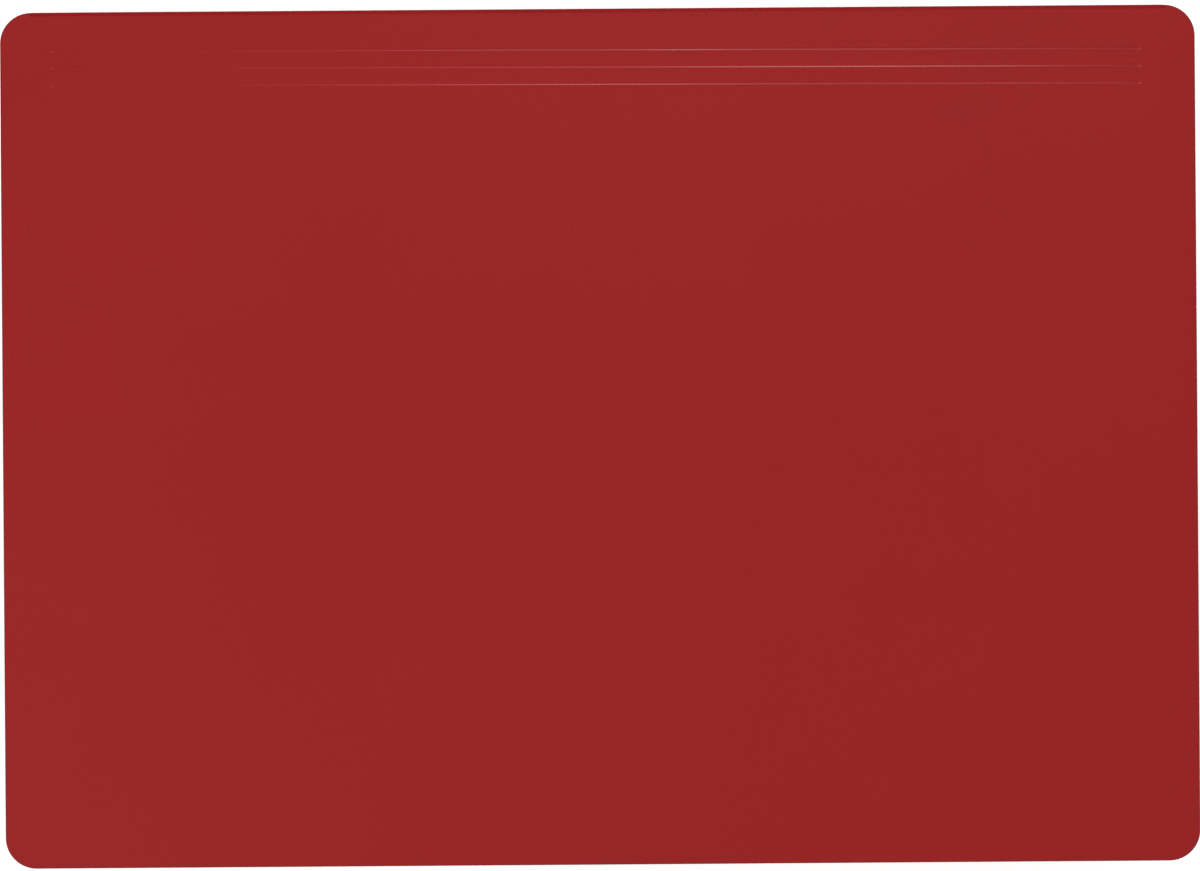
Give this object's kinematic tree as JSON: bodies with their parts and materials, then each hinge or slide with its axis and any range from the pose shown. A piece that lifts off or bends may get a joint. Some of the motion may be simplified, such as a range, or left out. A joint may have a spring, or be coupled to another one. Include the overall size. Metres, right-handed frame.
{
  "type": "ring binder",
  "caption": "Slim ring binder: two flat plastic covers with rounded corners fold on a narrow spine that carries a riveted ring mechanism with end levers.",
  "frame": {"origin": "middle of the closed binder's footprint, on the surface that its back cover lies on", "axes": "+X along the spine, +Y from the free edges of the covers to the spine, +Z from the back cover to the front cover"},
  "size_m": [0.32, 0.2302, 0.0355],
  "materials": {
    "red_plastic": "matte red polypropylene sheet with a fine even grain",
    "nickel_plate": "nickel-plated steel with a soft shine",
    "plain_steel": "plain rolled steel inside the mechanism"
  },
  "bodies": {
    "back_cover": {"back_cover": "red_plastic"},
    "spine": {"spine_panel": "red_plastic", "front_hinge_web": "red_plastic", "back_hinge_web": "red_plastic", "ring_housing": "nickel_plate", "top_lever_pin": "plain_steel", "bottom_lever_pin": "plain_steel", "top_rivet": "nickel_plate", "bottom_rivet": "nickel_plate", "top_standoff": "plain_steel", "bottom_standoff": "plain_steel"},
    "front_cover": {"front_cover": "red_plastic"},
    "front_rings": {"front_blade": "plain_steel", "front_ring_half_1": "nickel_plate", "front_ring_half_2": "nickel_plate", "front_ring_half_3": "nickel_plate", "front_ring_half_4": "nickel_plate"},
    "back_rings": {"back_blade": "plain_steel", "back_ring_half_1": "nickel_plate", "back_ring_half_2": "nickel_plate", "back_ring_half_3": "nickel_plate", "back_ring_half_4": "nickel_plate"},
    "top_lever": {"top_lever": "nickel_plate"},
    "bottom_lever": {"bottom_lever": "nickel_plate"}
  },
  "joints": [
    {"name": "spine_fold", "type": "hinge", "parent": "back_cover", "child": "spine", "pos_m": [0, 0.11384, 0.00042], "axis": [-1, 0, 0], "range_deg": [0, 86], "deforming": ["back_hinge_web"]},
    {"name": "cover_fold", "type": "hinge", "parent": "spine", "child": "front_cover", "pos_m": [0, 0.11384, 0.03507], "axis": [-1, 0, 0], "range_deg": [0, 94], "deforming": ["front_hinge_web"]},
    {"name": "ring_open", "type": "hinge", "parent": "spine", "child": "front_rings", "pos_m": [0, 0.10945, 0.02569], "axis": [-1, 0, 0], "range_deg": [0, 14]},
    {"name": "back_ring_turn", "type": "hinge", "parent": "spine", "child": "back_rings", "pos_m": [0, 0.10945, 0.00979], "axis": [1, 0, 0], "range_deg": [0, 14]},
    {"name": "top_lever_turn", "type": "hinge", "parent": "spine", "child": "top_lever", "pos_m": [0.137, 0.10925, 0.01774], "axis": [0, 0, 1], "range_deg": [0, 20]},
    {"name": "bottom_lever_turn", "type": "hinge", "parent": "spine", "child": "bottom_lever", "pos_m": [-0.137, 0.10925, 0.01774], "axis": [0, 0, -1], "range_deg": [0, 20]}
  ],
  "couplings": [
    {"joint": "back_ring_turn", "follows": "ring_open", "ratio": 1},
    {"joint": "top_lever_turn", "follows": "ring_open", "ratio": 1.4286},
    {"joint": "bottom_lever_turn", "follows": "ring_open", "ratio": 1.4286}
  ]
}
